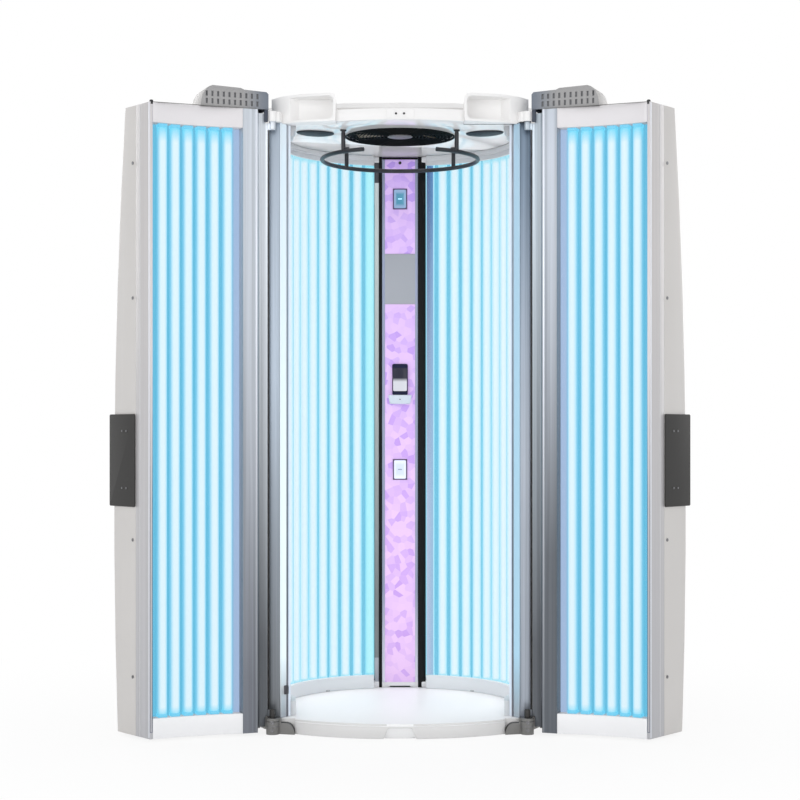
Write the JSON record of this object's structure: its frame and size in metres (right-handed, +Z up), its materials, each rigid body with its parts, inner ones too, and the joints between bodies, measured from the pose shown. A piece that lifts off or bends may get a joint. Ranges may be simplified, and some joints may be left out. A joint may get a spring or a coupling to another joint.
{
  "type": "vertical tanning booth",
  "caption": "Stand-up tanning cabin: a round lamp cabin with two lamp doors that swing open like wings, a control column, a ceiling fan and a hanging grab ring.",
  "frame": {"origin": "on the floor under the axis of the round cabin, on the underside of the base platform", "axes": "+Z up, +Y from the open front to the rear service box, +X to the right seen from the front"},
  "size_m": [1.9748, 1.1386, 2.182],
  "materials": {
    "shell_white": "satin light grey-white moulded shell",
    "trim_white": "smooth white trim",
    "platform_white": "white stand with a fine grip texture",
    "ceiling_gloss": "high-gloss white ceiling",
    "aluminium": "brushed extruded aluminium",
    "acrylic": "clear polished acrylic sheet",
    "lamp": "phosphor-coated lamp glass, lit pale blue",
    "reflector": "polished reflector sheet",
    "lilac_panel": "backlit lilac panel with a plain facet pattern",
    "plate_grey": "smooth grey plate",
    "black_plastic": "fine-grained black plastic",
    "air_strip": "beige perforated strip",
    "key_lens": "lit translucent key",
    "screen_black": "dark glossy screen",
    "casting_grey": "satin grey painted casting",
    "speaker_black": "dark perforated speaker cover",
    "fan_grey": "dark grey moulded fan",
    "steel": "zinc-plated steel",
    "ring_grey": "dark powder-coated tube",
    "hood_grey": "grained grey plastic",
    "handle_grey": "dark grey plate"
  },
  "bodies": {
    "cabin": {"left_lower_hinge_foot": "casting_grey", "right_lower_hinge_foot": "casting_grey", "left_lower_skirt": "trim_white", "right_lower_skirt": "trim_white", "left_upper_skirt": "trim_white", "right_upper_skirt": "trim_white", "left_cabin_acrylic": "acrylic", "right_cabin_acrylic": "acrylic", "left_cabin_lamp_bank": "lamp", "right_cabin_lamp_bank": "lamp", "left_cabin_reflector": "reflector", "right_cabin_reflector": "reflector", "left_side_panel": "shell_white", "right_side_panel": "shell_white", "left_upright": "aluminium", "right_upright": "aluminium", "left_corner_housing": "shell_white", "right_corner_housing": "shell_white", "left_speaker": "speaker_black", "right_speaker": "speaker_black", "base_platform": "platform_white", "rear_cover": "shell_white", "ballast_tray": "steel", "power_inlet": "black_plastic", "column_housing": "black_plastic", "upper_column_panel": "lilac_panel", "lower_column_panel": "lilac_panel", "control_plate": "plate_grey", "column_air_strip": "air_strip", "display_shelf": "trim_white", "media_display": "screen_black", "ceiling_panel": "ceiling_gloss", "fan_grille": "black_plastic", "fan_motor": "steel", "roof_canopy": "shell_white", "grab_ring": "ring_grey"},
    "left_door": {"left_door_inner_profile": "aluminium", "left_door_outer_profile": "aluminium", "left_door_bottom_strip": "trim_white", "left_door_top_strip": "trim_white", "left_door_acrylic": "acrylic", "left_door_lamp_bank": "lamp", "left_door_reflector": "reflector", "left_door_shell": "shell_white", "left_door_vent_hood": "hood_grey", "left_door_handle_plate": "handle_grey"},
    "right_door": {"right_door_inner_profile": "aluminium", "right_door_outer_profile": "aluminium", "right_door_bottom_strip": "trim_white", "right_door_top_strip": "trim_white", "right_door_acrylic": "acrylic", "right_door_lamp_bank": "lamp", "right_door_reflector": "reflector", "right_door_shell": "shell_white", "right_door_vent_hood": "hood_grey", "right_door_handle_plate": "handle_grey"},
    "fan": {"fan_rotor": "fan_grey"},
    "upper_key": {"upper_key": "key_lens"},
    "lower_key": {"lower_key": "key_lens"}
  },
  "joints": [
    {"name": "left_door_hinge", "type": "hinge", "parent": "cabin", "child": "left_door", "pos_m": [-0.43, -0.36, 0], "axis": [0, 0, 1], "range_deg": [0, 141.5]},
    {"name": "right_door_hinge", "type": "hinge", "parent": "cabin", "child": "right_door", "pos_m": [0.43, -0.36, 0], "axis": [0, 0, -1], "range_deg": [0, 141.5]},
    {"name": "fan_spin", "type": "hinge", "parent": "cabin", "child": "fan", "pos_m": [0, -0.045, 2.09], "axis": [0, 0, 1], "continuous": true},
    {"name": "upper_key_press", "type": "slide", "parent": "cabin", "child": "upper_key", "axis": [0, 1, 0], "range_m": [0, 0.0015], "stiffness_N_per_m": 800},
    {"name": "lower_key_press", "type": "slide", "parent": "cabin", "child": "lower_key", "axis": [0, 1, 0], "range_m": [0, 0.0015], "stiffness_N_per_m": 800}
  ]
}
